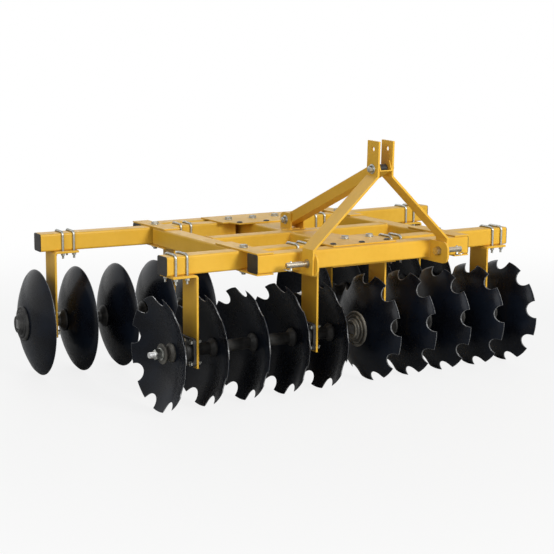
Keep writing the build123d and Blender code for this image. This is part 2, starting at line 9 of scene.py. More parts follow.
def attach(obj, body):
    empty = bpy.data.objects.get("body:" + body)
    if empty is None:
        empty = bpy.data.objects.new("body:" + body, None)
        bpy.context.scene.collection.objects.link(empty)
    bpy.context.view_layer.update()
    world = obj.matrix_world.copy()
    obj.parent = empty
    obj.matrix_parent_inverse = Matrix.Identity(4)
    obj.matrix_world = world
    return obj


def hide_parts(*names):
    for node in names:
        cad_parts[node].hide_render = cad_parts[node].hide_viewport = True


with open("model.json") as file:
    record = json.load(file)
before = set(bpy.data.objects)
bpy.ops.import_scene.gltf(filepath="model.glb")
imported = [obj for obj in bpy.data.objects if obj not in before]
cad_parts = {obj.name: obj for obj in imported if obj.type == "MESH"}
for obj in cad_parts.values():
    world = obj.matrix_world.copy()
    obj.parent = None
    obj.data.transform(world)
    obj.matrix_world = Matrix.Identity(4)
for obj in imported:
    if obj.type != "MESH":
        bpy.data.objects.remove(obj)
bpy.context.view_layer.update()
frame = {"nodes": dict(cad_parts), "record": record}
nodes = frame["nodes"]
print("frame loaded:", len(nodes), "nodes")

mm = 0.001
upward = Vector((0, 0, 1))


# Camera
cameraPlan = {
    "spot": (-3.2839, -5.0272, 1.4646),
    "yaw": 32.289,  # degrees to the right of straight ahead, +Y
    "pitch": -10.043,
    "roll": 0.432,
    "lens": 89.73,
    "sensor": 36.0,
    "clip": (0.1, 200.0),
}


def placeCamera(plan):
    yaw, pitch, roll = (math.radians(plan[key]) for key in ("yaw", "pitch", "roll"))
    ahead = Vector((math.sin(yaw) * math.cos(pitch), math.cos(yaw) * math.cos(pitch), math.sin(pitch)))
    right = Vector((math.cos(yaw), -math.sin(yaw), 0))
    over = right.cross(ahead)
    rolledRight = right * math.cos(roll) + over * math.sin(roll)
    rolledOver = over * math.cos(roll) - right * math.sin(roll)
    turn = Matrix((rolledRight, rolledOver, -ahead)).transposed()
    data = bpy.data.cameras.new("camera")
    data.lens = plan["lens"]
    data.sensor_width = plan["sensor"]
    data.clip_start, data.clip_end = plan["clip"]
    camera = bpy.data.objects.new("camera", data)
    camera.matrix_world = Matrix.Translation(plan["spot"]) @ turn.to_4x4()
    bpy.context.scene.collection.objects.link(camera)
    bpy.context.scene.camera = camera


placeCamera(cameraPlan)
bpy.context.scene.view_settings.view_transform = "Standard"


# Shader maths, written as plain Python expressions
class Signal:  # one output of a material's nodes, usable in plain arithmetic
    def __init__(self, shader, socket):
        self.shader = shader
        self.socket = socket

    def maths(self, operation, first, second=0.0):
        return self.shader.node("Math", {"operation": operation}, {0: first, 1: second})

    def __add__(self, other):
        return self.maths("ADD", self, other)

    __radd__ = __add__

    def __sub__(self, other):
        return self.maths("SUBTRACT", self, other)

    def __rsub__(self, other):
        return self.maths("SUBTRACT", other, self)

    def __mul__(self, other):
        return self.maths("MULTIPLY", self, other)

    __rmul__ = __mul__

    def __truediv__(self, other):
        return self.maths("DIVIDE", self, other)

    def __pow__(self, other):
        return self.maths("POWER", self, other)

    def between(self, low, high):  # 0 at low, 1 at high, smooth and clamped
        return self.shader.node(
            "MapRange",
            {"interpolation_type": "SMOOTHSTEP"},
            {"Value": self, "From Min": low, "From Max": high},
        )


class Shader:
    def __init__(self, name, **fixed):
        self.material = bpy.data.materials.new(name)
        self.material.use_nodes = True
        self.tree = self.material.node_tree
        self.surface = self.tree.nodes["Principled BSDF"]
        self.give(self.surface, fixed)

    def give(self, node, values):
        for key, value in values.items():
            if isinstance(value, Signal):
                self.tree.links.new(value.socket, node.inputs[key])
            else:
                node.inputs[key].default_value = value

    def node(self, kind, settings=None, inputs=None, output=0):
        made = self.tree.nodes.new("ShaderNode" + kind)
        for key, value in (settings or {}).items():
            if key == "stops":
                while len(made.color_ramp.elements) < len(value):
                    made.color_ramp.elements.new(1.0)
                for element, (place, colour) in zip(made.color_ramp.elements, value):
                    element.position = place
                    element.color = colour
            else:
                setattr(made, key, value)
        self.give(made, inputs or {})
        return Signal(self, made.outputs[output])

    def here(self):
        return self.node("TexCoord", output="Object")

    def grain(self, scale, detail=3.0, roughness=0.55, where=None):
        inputs = {"Vector": where or self.here(), "Scale": scale, "Detail": detail, "Roughness": roughness}
        return self.node("TexNoise", {"noise_dimensions": "3D"}, inputs)

    def mix(self, mask, first, second):
        return self.node("Mix", {"data_type": "RGBA"}, {0: mask, 6: first, 7: second}, output=2)

    def dot(self, first, second):
        return self.node("VectorMath", {"operation": "DOT_PRODUCT"}, {0: first, 1: second}, output="Value")

    def facing(self, direction):  # how far the surface faces a fixed direction, -1 to 1
        normal = self.node("NewGeometry", output="Normal")
        spaces = {"vector_type": "NORMAL", "convert_from": "WORLD", "convert_to": "OBJECT"}
        return self.dot(self.node("VectorTransform", spaces, {0: normal}), direction)

    def edges(self, radius):  # 1 on outside edges and corners
        rounded = self.node("Bevel", {"samples": 4}, {"Radius": radius})
        plain = self.node("NewGeometry", output="Normal")
        return (1 - self.dot(rounded, plain)).between(0.01, 0.12)

    def bump(self, height, strength, distance, under=None):
        inputs = {"Height": height, "Strength": strength, "Distance": distance}
        if under:
            inputs["Normal"] = under
        return self.node("Bump", {}, inputs)

    def finish(self, **values):
        self.give(self.surface, {key.replace("_", " "): value for key, value in values.items()})
        return self.material


def rgb(red, green, blue):
    return (red, green, blue, 1.0)


# Materials
def makeFramePaint(name, rippled=False):
    paint = {
        "ochre": rgb(0.78, 0.45, 0.045),
        "ochreDeep": rgb(0.70, 0.385, 0.030),
        # the tan for faces turned up: dust with a painted sky sheen
        "dustSheenTan": rgb(0.55, 0.38, 0.17),
        "edge": rgb(0.86, 0.58, 0.16),
        "roughness": 0.38,
    }
    shader = Shader(name, **{"Coat Roughness": 0.16, "Specular IOR Level": 0.2})
    broad = shader.grain(5.0, 4.0).between(0.35, 0.68)
    cloud = shader.grain(38.0, 5.0).between(0.40, 0.72)
    peel = shader.grain(520.0, 2.0)
    skin = shader.grain(2400.0, 2.0)
    # faces turned up get dust and a painted sky sheen: a paler, duller tan standing in for the sky's
    # reflection on the tops; the dust also raises roughness
    level = shader.facing((0, 0, 1)).between(0.55, 0.98)
    dustAndSkySheen = level * (0.35 + cloud * 0.5)
    colour = shader.mix(broad * 0.55 + cloud * 0.25, paint["ochre"], paint["ochreDeep"])
    # painted sky sheen with dust on the tops
    colour = shader.mix(dustAndSkySheen * 0.62, colour, paint["dustSheenTan"])
    worn = shader.edges(0.0022) * (0.35 + 0.65 * cloud)
    colour = shader.mix(worn * 0.55, colour, paint["edge"])
    rough = paint["roughness"] + dustAndSkySheen * 0.22 + broad * 0.06 + skin * 0.04
    normal = shader.bump(peel + skin * 0.25, 0.10, 0.0006)
    if rippled:
        spatter = shader.grain(900.0, 3.0)
        normal = shader.bump(spatter, 0.25, 0.0008, normal)
    return shader.finish(Base_Color=colour, Roughness=rough, Coat_Weight=0.10 - dustAndSkySheen * 0.08, Normal=normal)


def makeBladeEnamel(name):
    enamel = {
        "black": rgb(0.004, 0.0045, 0.0065),
        "blue": rgb(0.006, 0.009, 0.016),
        "scuff": rgb(0.03, 0.031, 0.034),
    }
    shader = Shader(name, **{"Coat Roughness": 0.09, "Specular IOR Level": 0.13, "Coat IOR": 1.4})
    where = shader.here()
    broad = shader.grain(7.0, 3.0).between(0.3, 0.75)
    flow = shader.grain(60.0, 6.0, 0.6).between(0.45, 0.8)
    speck = shader.grain(700.0, 2.0).between(0.66, 0.80)
    stretched = shader.node("Mapping", {}, {"Vector": where, "Scale": (40.0, 900.0, 40.0)})
    scratch = shader.grain(1.0, 4.0, 0.5, stretched).between(0.60, 0.74)
    worn = shader.edges(0.0018)
    colour = shader.mix(broad, enamel["black"], enamel["blue"])
    colour = shader.mix(worn * 0.7 + scratch * 0.04 + speck * 0.03, colour, enamel["scuff"])
    rough = 0.25 + flow * 0.06 + broad * 0.05 + worn * 0.15
    wave = shader.bump(shader.grain(18.0, 2.0), 0.10, 0.004)
    normal = shader.bump(scratch * 0.5 + speck, 0.06, 0.0004, wave)
    return shader.finish(Base_Color=colour, Roughness=rough, Coat_Weight=0.06 - flow * 0.05, Normal=normal)


def makeGroundEdge(name):
    shader = Shader(name, **{"Specular IOR Level": 0.5})
    rub = shader.grain(160.0, 4.0).between(0.35, 0.7)
    fine = shader.grain(1500.0, 2.0)
    colour = shader.mix(rub, rgb(0.05, 0.052, 0.058), rgb(0.24, 0.245, 0.25))
    normal = shader.bump(fine, 0.15, 0.0004)
    return shader.finish(Base_Color=colour, Roughness=0.30 + fine * 0.16, Metallic=rub * 0.55, Normal=normal)


def makeCasting(name, dusting, grey):
    black = rgb(0.008, 0.0082, 0.009)
    shader = Shader(name, **{"Specular IOR Level": 0.2, "Coat Roughness": 0.3})
    sand = shader.grain(420.0, 4.0, 0.65)
    pit = shader.grain(130.0, 3.0).between(0.58, 0.75)
    cloud = shader.grain(26.0, 4.0).between(0.38, 0.7)
    worn = shader.edges(0.003)
    colour = shader.mix((cloud * 0.35 + sand * 0.25 + worn * 0.6) * dusting, black, grey)
    normal = shader.bump(sand - pit * 0.7, 0.35, 0.0009)
    rough = 0.42 + sand * 0.18 + cloud * 0.08
    return shader.finish(Base_Color=colour, Roughness=rough, Coat_Weight=0.08 - pit * 0.06, Normal=normal)


def makePlated(name, bright, dull, roughness, paintedTopShade=0.0):  # painted shade: the last argument darkens what faces up, standing in for the dark reflection seen on metal tops
    shader = Shader(name, **{"Specular IOR Level": 0.5})
    cells = {"Vector": shader.here(), "Scale": 260.0, "Randomness": 1.0}
    flake = shader.node("TexVoronoi", {"feature": "F1"}, cells, output="Color")
    tone = shader.node("SeparateColor", {}, {"Color": flake})
    cloud = shader.grain(70.0, 4.0).between(0.35, 0.7)
    fine = shader.grain(1800.0, 2.0)
    colour = shader.mix(cloud * 0.55 + tone * 0.25, bright, dull)
    # painted shade: faces turned up go dark
    if paintedTopShade:
        level = shader.facing((0, 0, 1)).between(0.45, 0.9)
        colour = shader.mix(level * paintedTopShade, colour, rgb(0.05, 0.055, 0.045))
    rough = roughness + cloud * 0.14 + tone * 0.06
    normal = shader.bump(fine, 0.10, 0.0003)
    return shader.finish(Base_Color=colour, Roughness=rough, Metallic=1.0 - cloud * 0.12, Normal=normal)


def makeMoulded(name):
    shader = Shader(name, **{"Specular IOR Level": 0.42})
    leather = shader.grain(900.0, 3.0)
    cloud = shader.grain(34.0, 4.0).between(0.35, 0.7)
    level = shader.facing((0, 0, 1)).between(0.4, 0.95)
    bloom = cloud * 0.22 + level * 0.12
    colour = shader.mix(bloom, rgb(0.014, 0.0135, 0.013), rgb(0.085, 0.075, 0.062))
    normal = shader.bump(leather, 0.22, 0.0005)
    return shader.finish(Base_Color=colour, Roughness=0.46 + leather * 0.12 + bloom * 0.12, Normal=normal)


framePaint = makeFramePaint("framePaint")
weldPaint = makeFramePaint("weldPaint", rippled=True)
bladeEnamel = makeBladeEnamel("bladeEnamel")
groundEdge = makeGroundEdge("groundEdge")
blackCasting = makeCasting("blackCasting", 1.1, rgb(0.095, 0.092, 0.086))
greyCasting = makeCasting("greyCasting", 2.2, rgb(0.21, 0.195, 0.165))
# zinc with painted shade on the tops of its heads and rods
zincPlate = makePlated("zincPlate", rgb(0.60, 0.61, 0.58), rgb(0.26, 0.265, 0.235), 0.27, 0.75)
yellowZinc = makePlated("yellowZinc", rgb(0.52, 0.47, 0.38), rgb(0.24, 0.19, 0.13), 0.24)
brightSteel = makePlated("brightSteel", rgb(0.86, 0.86, 0.85), rgb(0.60, 0.60, 0.60), 0.16)
blackPlastic = makeMoulded("blackPlastic")
headSteel = makePlated("headSteel", rgb(0.30, 0.30, 0.30), rgb(0.12, 0.115, 0.11), 0.34)
print("materials made:", len(bpy.data.materials))


# Meshes, built from rings of points
class Shape:  # gathers solids of one piece; each solid has its place and its finish
    def __init__(self):
        self.points, self.faces, self.finishes = [], [], []

    def add(self, solid, place=Matrix(), finish=0):
        points, faces = solid
        start = len(self.points)
        self.points += [place @ Vector(point) for point in points]
        self.faces += [[start + corner for corner in face] for face in faces]
        self.finishes += [finish] * len(faces)

    def piece(self, name, body, slot, materials, replaced=(), angle=35.0, weighted=False):
        mesh = bpy.data.meshes.new(name)
        mesh.from_pydata(self.points, [], self.faces)
        for material in materials:
            mesh.materials.append(material)
        mesh.polygons.foreach_set("material_index", self.finishes)
        return settle(mesh, name, body, replaced, angle, weighted)

    def dress(self, node, body, materials, **more):  # stands in for a CAD node
        self.piece(node + ".dressed", body, slotOf(node), materials, replaced=(node,), **more)


def settle(mesh, name, body, replaced, angle, weighted):
    mesh.validate()
    work = bmesh.new()
    work.from_mesh(mesh)
    bmesh.ops.recalc_face_normals(work, faces=work.faces)
    work.to_mesh(mesh)
    work.free()
    mesh.shade_smooth()
    mesh.set_sharp_from_angle(angle=math.radians(angle))
    piece = bpy.data.objects.new(name, mesh)
    bpy.context.scene.collection.objects.link(piece)
    if weighted:
        modifier = piece.modifiers.new("evenNormals", "WEIGHTED_NORMAL")
        modifier.keep_sharp = True
    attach(piece, body)
    if replaced:
        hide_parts(*replaced)
    return piece


def along(origin, direction):  # local X runs along direction
    ahead = Vector(direction).normalized()
    side = upward.cross(ahead)
    if side.length < 1e-6:
        side = Vector((0, 1, 0)).cross(ahead)
    side.normalize()
    turn = Matrix((ahead, side, ahead.cross(side))).transposed()
    return Matrix.Translation(Vector(origin)) @ turn.to_4x4()


def onward(distance):  # further along local X
    return Matrix.Translation((distance, 0, 0))


def standing(x, y, z, way=1):  # local X runs up, or down where way is -1
    return Matrix.Scale(mm, 4) @ Matrix.Translation((x, y, z)) @ Matrix.Rotation(-way * math.pi / 2, 4, "Y")


squareCorner = 1.36  # how far a square's cut corners reach, against its half width
cutShare = 0.45  # the most that a rounded corner takes of the side beside it


def turned(profile, steps):  # spins (along X, radius) points round X; a radius of 0 closes an end
    points, faces, rings = [], [], []
    closed = tuple(profile[0]) == tuple(profile[-1])
    for entry in profile[:-1] if closed else profile:
        reach, radius = entry[0], entry[1]
        if radius < 1e-7:
            rings.append([len(points)])
            points.append((reach, 0, 0))
            continue
        rings.append(list(range(len(points), len(points) + steps)))
        for step in range(steps):
            angle = 2 * math.pi * step / steps
            size = radius
            if len(entry) > 2:  # a square of that half width, its corners just taken off
                size = min(radius / max(abs(math.cos(angle)), abs(math.sin(angle))), radius * squareCorner)
            points.append((reach, size * math.cos(angle), size * math.sin(angle)))
    if closed:
        rings.append(rings[0])
    for first, second in zip(rings, rings[1:]):
        for step in range(steps):
            corners = [first[step % len(first)], first[(step + 1) % len(first)]]
            corners += [second[(step + 1) % len(second)], second[step % len(second)]]
            faces.append(list(dict.fromkeys(corners)))
    return points, faces


def eased(profile, amount, bends=3):  # rounds the corners of a profile
    rounded = [Vector(profile[0])]
    for before, corner, after in zip(profile, profile[1:], profile[2:]):
        before, corner, after = Vector(before), Vector(corner), Vector(after)
        cut = min(amount, (before - corner).length * cutShare, (after - corner).length * cutShare)
        start = corner + (before - corner).normalized() * cut
        end = corner + (after - corner).normalized() * cut
        for step in range(bends + 1):
            t = step / bends
            rounded.append(start * (1 - t) ** 2 + corner * 2 * t * (1 - t) + end * t**2)
    rounded.append(Vector(profile[-1]))
    return [tuple(point) for point in rounded]


def stitched(rings, steps):  # the faces of a solid made of rings of so many steps, closed at both ends
    faces = []
    for ring in range(rings - 1):
        a, b = ring * steps, (ring + 1) * steps
        for step in range(steps):
            following = (step + 1) % steps
            faces.append([a + step, a + following, b + following, b + step])
    last = (rings - 1) * steps
    faces.append(list(range(steps))[::-1])
    faces.append(list(range(last, last + steps)))
    return faces


def disc(radius, thick, ease, bends, steps, start=0.0):  # a washer along X with eased rims
    end = start + thick
    return turned(eased([(start, 0), (start, radius), (end, radius), (end, 0)], ease, bends), steps)


hexPlan = {"steps": 36, "crown": 0.97, "face": 0.95, "chamfer": 30}


def hexagon(flats, height):  # chamfered hexagon from X = 0 to height
    steps = hexPlan["steps"]
    inner = flats / 2
    slope = math.tan(math.radians(hexPlan["chamfer"]))
    kinds = ((0, "face"), (0, "edge"), (height, "edge"), (height, "face"))
    points = []
    for reach, kind in kinds:
        for step in range(steps):
            angle = 2 * math.pi * step / steps
            away = (angle + math.pi / 6) % (math.pi / 3) - math.pi / 6
            corner = inner / math.cos(away)
            drop = (corner - inner * hexPlan["crown"]) * slope
            if kind == "face":
                radius, place = inner * hexPlan["face"], reach
            else:
                radius, place = corner, (reach - drop if reach else drop)
            points.append((place, radius * math.cos(angle), radius * math.sin(angle)))
    return points, stitched(len(kinds), steps)


threadPlan = {"rowsPerTurn": 4, "tip": 0.93, "depth": 0.42}  # tip and depth: shares of radius and pitch


def threaded(radius, length, pitch, steps):  # screw thread along X with a chamfered tip, sizes in mm
    rows = int(length / pitch * threadPlan["rowsPerTurn"])
    points = []
    for row in range(rows + 1):
        reach = length * row / rows
        fade = min(1.0, (length - reach) / pitch)
        for step in range(steps):
            turn = step / steps
            phase = (reach / pitch - turn) % 1.0
            depth = abs(phase - 0.5) * 2
            narrowed = threadPlan["tip"] + (1 - threadPlan["tip"]) * fade
            size = radius * narrowed - depth * pitch * threadPlan["depth"]
            points.append((reach, size * math.cos(2 * math.pi * turn), size * math.sin(2 * math.pi * turn)))
    return points, stitched(rows + 1, steps)


def swept(path, radius, sides):  # a round rod along a path of points, closed at both ends
    path = [Vector(point) for point in path]
    radii = radius if isinstance(radius, list) else [radius] * len(path)
    points = []
    heading = (path[1] - path[0]).normalized()
    side = heading.orthogonal().normalized()
    for number, point in enumerate(path):
        before = path[max(number - 1, 0)]
        after = path[min(number + 1, len(path) - 1)]
        fresh = (after - before).normalized()
        side = (heading.rotation_difference(fresh) @ side).normalized()
        heading = fresh
        other = heading.cross(side)
        for step in range(sides):
            angle = 2 * math.pi * step / sides
            points.append(point + (side * math.cos(angle) + other * math.sin(angle)) * radii[number])
    return points, stitched(len(path), sides)


def arcPoints(centre, first, second, radius, start, end, count):
    centre, first, second = Vector(centre), Vector(first), Vector(second)
    for step in range(count + 1):
        angle = start + (end - start) * step / count
        yield centre + (first * math.cos(angle) + second * math.sin(angle)) * radius


def slotOf(node):
    return [entry["material_slot"] for entry in frame["record"]["subparts"] if entry["node"] == node][0]


softenPlan = {"merge": 2e-6, "flat": 0.6, "sharp": 40}  # metres, then degrees


def softened(node, width, material, bends=2):  # a copy of a CAD piece with its edges rounded
    flat, sharp = math.radians(softenPlan["flat"]), math.radians(softenPlan["sharp"])
    work = bmesh.new()
    work.from_mesh(nodes[node].data)
    bmesh.ops.remove_doubles(work, verts=work.verts, dist=softenPlan["merge"])
    bmesh.ops.dissolve_limit(work, angle_limit=flat, verts=work.verts, edges=work.edges)
    paired = [edge for edge in work.edges if len(edge.link_faces) == 2]
    rims = [edge for edge in paired if edge.calc_face_angle() > sharp]
    how = {"profile": 0.5, "affect": "EDGES", "clamp_overlap": False}
    bmesh.ops.bevel(work, geom=rims, offset=width, segments=bends, **how)
    work.verts.ensure_lookup_table()
    shape = Shape()
    points = [vertex.co.copy() for vertex in work.verts]
    shape.add((points, [[vertex.index for vertex in face.verts] for face in work.faces]))
    work.free()
    shape.dress(node, "frame", [material], weighted=True)


# Painted frame
tubeNodes = (
    "front_cross_tube",
    "middle_cross_tube",
    "rear_cross_tube",
    "left_side_tube",
    "right_side_tube",
    "front_centre_tube",
    "rear_centre_tube",
    "front_left_gang_tube",
    "front_right_gang_tube",
    "rear_left_gang_tube",
    "rear_right_gang_tube",
)


def repaint(node, material):
    slots = nodes[node].material_slots
    if not slots:
        nodes[node].data.materials.append(material)
    for slot in slots:
        slot.material = material


for node in tubeNodes:
    repaint(node, framePaint)

plateEdges = {
    "top_corner_plates": 0.0012,
    "bottom_corner_plates": 0.0012,
    "front_adjuster_plates": 0.0012,
    "rear_adjuster_plates": 0.0012,
    "front_standards": 0.0014,
    "rear_standards": 0.0014,
    "left_mast_bar": 0.0016,
    "right_mast_bar": 0.0016,
    "hitch_lugs": 0.0014,
    "brace_ears": 0.0012,
    "mast_brace": 0.0014,
}
for node, width in plateEdges.items():
    softened(node, width, framePaint)
softened("tube_end_caps", 0.0022, blackPlastic, bends=3)
repaint("brace_spacer", blackPlastic)
print("painted frame done")


# Studio
studioPlan = {
    "ambient": 0.30,
    "ambientColour": rgb(0.96, 0.98, 1.0),
    "white": rgb(1.0, 1.0, 1.0),
    "floorColour": rgb(0.52, 0.52, 0.51),
    "floorSpeck": rgb(0.57, 0.57, 0.56),
    "floorRadius": 40.0,
    "floorSides": 96,
    "floorDrop": 0.0004,
    "fadeStart": 1.5,
    "fadeEnd": 4.2,
    "floorWhite": 0.84,  # how white the floor is to the camera under the part
    "aim": (0, 0, 0.4),
    "lamps": {
        "keyLamp": {"spot": (1.2, -6.6, 3.4), "size": 1.9, "power": 375, "colour": (1.0, 0.99, 0.96)},
        "fillLamp": {"spot": (-6.0, -2.6, 3.4), "size": 3.6, "power": 125, "colour": (0.95, 0.97, 1.0)},
        "backLamp": {"spot": (1.5, 5.5, 4.5), "size": 3.4, "power": 90, "colour": (0.97, 0.98, 1.0)},
    },
}


class WorldShader(Shader):
    def __init__(self, tree):
        self.tree = tree


def seenDirectly(shader):  # 1 for rays that show the background: camera, mirror and glass rays
    kinds = ("Camera", "Glossy", "Transmission")
    camera, glossy, glass = [shader.node("LightPath", output="Is %s Ray" % kind) for kind in kinds]
    return camera.maths("MAXIMUM", camera, glossy.maths("MAXIMUM", glossy, glass))


def lightStudio(plan):
    world = bpy.data.worlds.new("studio")
    bpy.context.scene.world = world
    world.use_nodes = True
    shader = WorldShader(world.node_tree)
    seen = seenDirectly(shader)
    colour = shader.mix(seen, plan["ambientColour"], plan["white"])
    strength = plan["ambient"] + seen * (1 - plan["ambient"])
    shader.give(world.node_tree.nodes["Background"], {"Color": colour, "Strength": strength})
    for name, lampPlan in plan["lamps"].items():
        data = bpy.data.lights.new(name, "AREA")
        data.size = lampPlan["size"]
        data.energy = lampPlan["power"]
        data.color = lampPlan["colour"]
        lamp = bpy.data.objects.new(name, data)
        lamp.location = lampPlan["spot"]
        lamp.rotation_euler = (Vector(plan["aim"]) - lamp.location).to_track_quat("-Z", "Y").to_euler()
        bpy.context.scene.collection.objects.link(lamp)


def layFloor(plan):
    shader = Shader("paleFloor", Roughness=0.6)
    grain = shader.grain(9.0, 4.0)
    colour = shader.mix(grain * 0.25, plan["floorColour"], plan["floorSpeck"])
    shader.finish(Base_Color=colour)
    away = shader.node("VectorMath", {"operation": "LENGTH"}, {0: shader.here()}, output="Value")
    fade = away.between(plan["fadeStart"], plan["fadeEnd"])
    white = plan["floorWhite"] + fade * (1 - plan["floorWhite"])
    camera = shader.node("LightPath", output="Is Camera Ray")
    glow = shader.node("Emission", {}, {"Color": plan["white"], "Strength": 1.0})
    output = shader.tree.nodes["Material Output"]
    painted = Signal(shader, shader.surface.outputs[0])
    both = shader.node("MixShader", {}, {0: camera * white, 1: painted, 2: glow})
    shader.tree.links.new(both.socket, output.inputs["Surface"])
    work = bmesh.new()
    bmesh.ops.create_circle(work, cap_ends=True, radius=plan["floorRadius"], segments=plan["floorSides"])
    mesh = bpy.data.meshes.new("floor")
    work.to_mesh(mesh)
    work.free()
    mesh.materials.append(shader.material)
    floor = bpy.data.objects.new("floor", mesh)
    floor.location.z = -plan["floorDrop"]
    bpy.context.scene.collection.objects.link(floor)


lightStudio(studioPlan)
layFloor(studioPlan)
print("studio done")


# Where each gang has its axle, blades and standards, in millimetres
bladePlan = {
    "radius": 228.6,
    "thick": 4.5,
    "dish": 430.0,
    "flat": 50.0,
    "bevel": 10.0,
    "land": 1.2,
    "edgeEase": 0.9,
    "pitch": 186.7,
    "count": 5,
    "hole": 14.6,
    "notchRadius": 38.0,
    "notches": 9,
    "notchSteps": 14,
    "toothSteps": 6,
    "plainSteps": 132,
    "cornerEase": 1.6,
    "cornerBend": 40,  # degrees
    "rowGap": 0.6,
    "rimEase": 0.35,
    "rings": (0.11, 0.22, 0.33, 0.44, 0.55, 0.66, 0.77, 0.89),
}
frontGang = {"middle": -358.0, "sweep": 0.0, "firstRim": 134.0, "bulge": -1, "legs": ((1, -80.5), (4, -80.0))}
rearGang = {"middle": 385.0, "sweep": 3.0, "firstRim": 298.0, "bulge": 1, "legs": ((0, 57.0), (3, 54.0))}
frontGang.update(foot=1, tubeEnd=859.0, notched=True)
rearGang.update(foot=-1, tubeEnd=1042.0, notched=False)
gangPlan = {
    "front_left": dict(frontGang, side=-1),
    "front_right": dict(frontGang, side=1),
    "rear_left": dict(rearGang, side=-1),
    "rear_right": dict(rearGang, side=1),
}
axleHeight = bladePlan["radius"]
tubeTop, tubeBottom, halfTube = 614.0, 537.8, 38.1
plateThick = 6.4
standardThick = 9.5
plateTop, plateBottom = tubeTop + plateThick, tubeBottom - plateThick


# A gang's own axes: local X outward along the axle, local Z up, in millimetres
def gangFrame(gang, u=0.0, z=axleHeight, flip=1):
    sweep = math.radians(gang["sweep"])
    outward = Vector((gang["side"] * math.cos(sweep), math.sin(sweep), 0))
    spot = Vector((0, gang["middle"], z)) + outward * u
    return Matrix.Scale(mm, 4) @ along(spot, outward * flip)


def dishSeat():
    return math.sqrt(bladePlan["dish"] ** 2 - bladePlan["flat"] ** 2)


def bulgeDrop(radius):  # how far the convex face lies behind its flat middle
    return max(0.0, dishSeat() - math.sqrt(bladePlan["dish"] ** 2 - radius**2))


def hollowDrop(radius):
    inside = bladePlan["dish"] - bladePlan["thick"]
    return max(bladePlan["thick"], dishSeat() - math.sqrt(inside**2 - radius**2))


def bladeSeat(gang, number):  # where the convex face's flat middle is
    depth = hollowDrop(bladePlan["radius"])
    return gang["firstRim"] + number * bladePlan["pitch"] + gang["bulge"] * depth


def hollowSeat(gang, number):
    return bladeSeat(gang, number) - gang["bulge"] * bladePlan["thick"]


def legsOf(gang):
    return [bladeSeat(gang, number) + distance for number, distance in gang["legs"]]

def endBlades(gang):  # the blade beside the bell, and the one beside the nut
    last = bladePlan["count"] - 1
    return (last, 0) if gang["bulge"] > 0 else (0, last)


# Blades
def bladeOutline(plan, notched):  # points round the rim, with eased tooth corners
    rim = plan["radius"]
    if not notched:
        angles = [2 * math.pi * step / plan["plainSteps"] for step in range(plan["plainSteps"])]
        return [Vector((rim * math.cos(angle), rim * math.sin(angle))) for angle in angles]
    reach = 2 * math.asin(plan["notchRadius"] / (2 * rim))
    swing = math.pi / 2 + reach / 2
    points = []
    for notch in range(plan["notches"]):
        middle = math.pi / 2 + 2 * math.pi * notch / plan["notches"]
        centre = Vector((math.cos(middle), math.sin(middle))) * rim
        notchPoints = []
        for step in range(plan["notchSteps"] + 1):
            angle = middle - swing - (2 * math.pi - 2 * swing) * step / plan["notchSteps"]
            notchPoints.append(centre + Vector((math.cos(angle), math.sin(angle))) * plan["notchRadius"])
        toothPoints = []
        gap = 2 * math.pi / plan["notches"] - 2 * reach
        for step in range(1, plan["toothSteps"]):
            angle = middle + reach + gap * step / plan["toothSteps"]
            toothPoints.append(Vector((math.cos(angle), math.sin(angle))) * rim)
        points += notchPoints + toothPoints
    count = len(points)
    eased = []
    for number, point in enumerate(points):
        before, after = points[number - 1], points[(number + 1) % count]
        bend = (point - before).angle(after - point, 0.0)
        if bend > math.radians(plan["cornerBend"]):
            start = point + (before - point).normalized() * plan["cornerEase"]
            end = point + (after - point).normalized() * plan["cornerEase"]
            eased += [start, (start + 2 * point + end) / 4, end]
        else:
            eased.append(point)
    return eased


def bladeSolid(plan, notched):  # convex flat at X = 0, the hollow towards +X
    outline = bladeOutline(plan, notched)
    count = len(outline)
    inset = []
    for number, point in enumerate(outline):
        run = (outline[(number + 1) % count] - outline[number - 1]).normalized()
        inset.append(point - Vector((run.y, -run.x)) * plan["edgeEase"])
    bevelStart = plan["radius"] - plan["bevel"]
    rimDrop = hollowDrop(plan["radius"]) - plan["land"]
    bevelDrop = bulgeDrop(bevelStart)

    def outside(radius):
        if radius <= bevelStart:
            return bulgeDrop(radius)
        return bevelDrop + (rimDrop - bevelDrop) * (radius - bevelStart) / plan["bevel"]

    gap = plan["rowGap"]
    rows = []
    for point in inset:
        heading = point.normalized()
        hole = heading * plan["hole"] / max(abs(heading.x), abs(heading.y))
        flat = heading * plan["flat"]
        last = heading * bevelStart if point.length > bevelStart + gap else point - heading * gap
        row = [hole, flat] + [flat.lerp(last, share) for share in plan["rings"]] + [last, point]
        rows.append(row)
    rings = len(rows[0])
    points, faces = [], []
    for row, rimPoint in zip(rows, outline):
        points += [(outside(spot.length), spot.x, spot.y) for spot in row]
        points.append((outside(rimPoint.length) + plan["rimEase"], rimPoint.x, rimPoint.y))
        points.append((hollowDrop(rimPoint.length) - plan["rimEase"], rimPoint.x, rimPoint.y))
        points += [(hollowDrop(spot.length), spot.x, spot.y) for spot in reversed(row)]
    tall = 2 * rings + 2
    finishes = []
    for number in range(count):
        a, b = number * tall, (number + 1) % count * tall
        for step in range(tall):
            following = (step + 1) % tall
            faces.append([a + step, b + step, b + following, a + following])
            rimFace = rings - 1 <= step <= rings + 1
            finishes.append(1 if rimFace else 0)
    return points, faces, finishes


def makeBlades():
    for name, gang in gangPlan.items():
        points, faces, finishes = bladeSolid(bladePlan, gang["notched"])
        shape = Shape()
        for number in range(bladePlan["count"]):
            place = gangFrame(gang, bladeSeat(gang, number), flip=-gang["bulge"])
            shape.add((points, faces), place)
            shape.finishes[-len(faces):] = finishes
        shape.dress(name + "_blades", name + "_gang", [bladeEnamel, groundEdge], angle=28.0)


makeBlades()
print("blades done")


